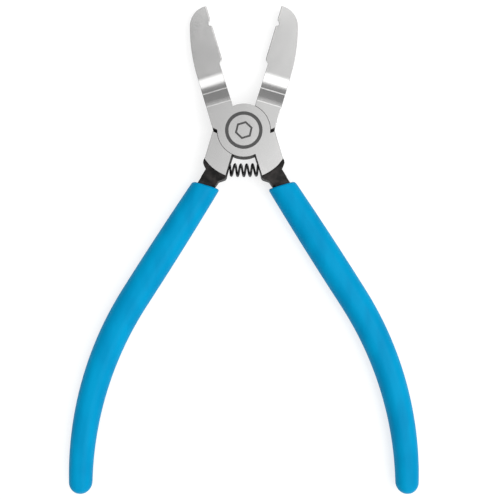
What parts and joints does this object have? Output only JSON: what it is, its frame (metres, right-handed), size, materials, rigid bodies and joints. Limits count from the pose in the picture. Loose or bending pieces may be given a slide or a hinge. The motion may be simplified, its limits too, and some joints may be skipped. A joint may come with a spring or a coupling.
{
  "type": "lap-joint pliers",
  "caption": "Spring-opening lap-joint pliers with thin, flat, set-back jaws, a notch near the tips and dipped vinyl grips.",
  "frame": {"origin": "on the pivot axis, in the plane of the back face on which the tool rests", "axes": "+Y from the pivot towards the jaws, +Z out of the front face along the pivot, +X to the right as seen from the front"},
  "size_m": [0.1458, 0.203, 0.011],
  "materials": {
    "ground_steel": "surface-ground faces, black oxide on the forged shanks",
    "rivet_steel": "ground flush",
    "spring_black": "black oxide spring wire",
    "grip_vinyl": "dipped vinyl, satin gloss"
  },
  "bodies": {
    "front": {"front_lever": "ground_steel", "pivot_rivet": "rivet_steel", "return_spring": "spring_black", "right_grip": "grip_vinyl"},
    "back": {"back_lever": "ground_steel", "left_grip": "grip_vinyl"}
  },
  "joints": [
    {"name": "pivot", "type": "hinge", "parent": "front", "child": "back", "pos_m": [0, 0, 0.0055], "axis": [0, 0, 1], "range_deg": [0, 33.2], "stiffness_Nm_per_rad": 2, "springref_deg": -11.46, "deforming": ["return_spring"]}
  ]
}
